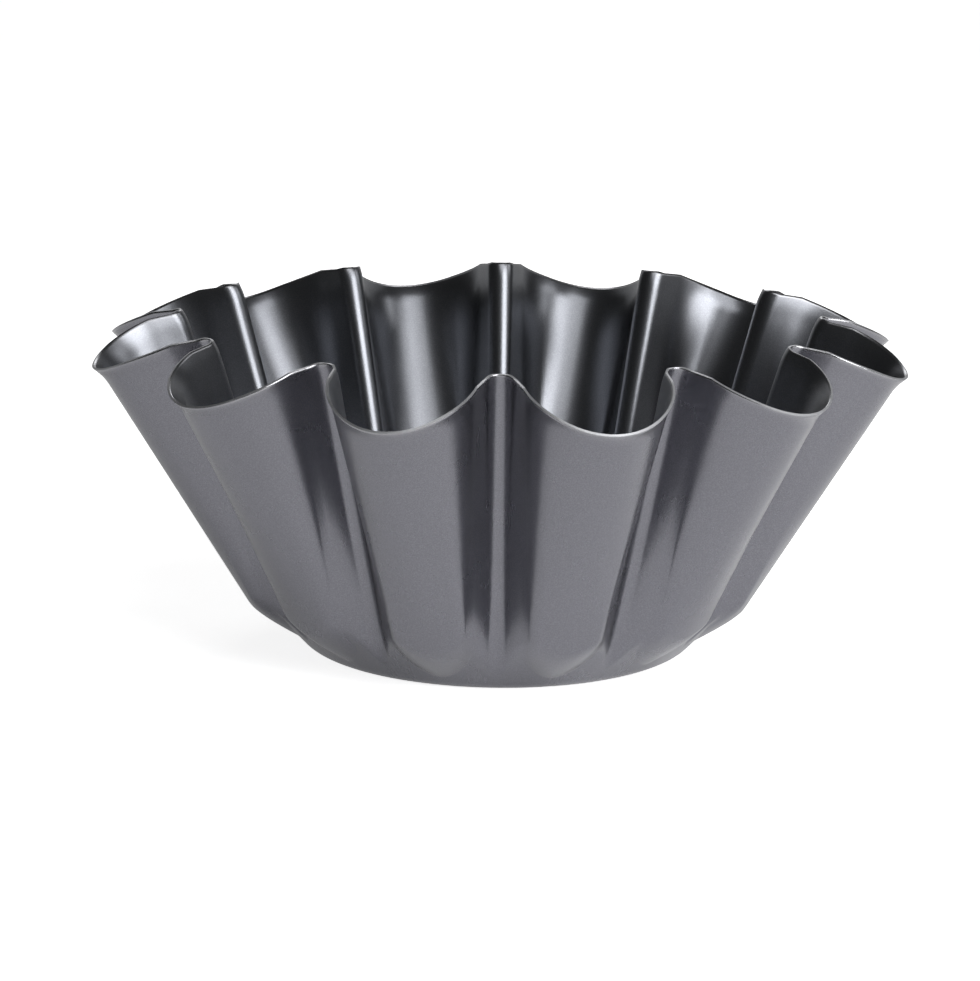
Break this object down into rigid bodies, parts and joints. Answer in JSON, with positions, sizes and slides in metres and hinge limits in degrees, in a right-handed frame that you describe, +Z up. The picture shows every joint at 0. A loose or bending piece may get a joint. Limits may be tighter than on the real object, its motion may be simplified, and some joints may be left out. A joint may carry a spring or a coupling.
{
  "type": "brioche mould",
  "caption": "Round fluted baking mould pressed in one piece from thin coated sheet steel, with a small flat base and a wide wavy rim.",
  "frame": {"origin": "centre of the flat base, on the surface that the mould stands on", "axes": "+Z up along the mould's axis of symmetry, +X and +Y each through the bottom of a fold between two flutes"},
  "size_m": [0.2138, 0.2138, 0.09],
  "materials": {
    "coated_steel": "satin grey non-stick coating on thin sheet steel"
  },
  "bodies": {
    "root": {"mould_body": "coated_steel"}
  },
  "joints": []
}
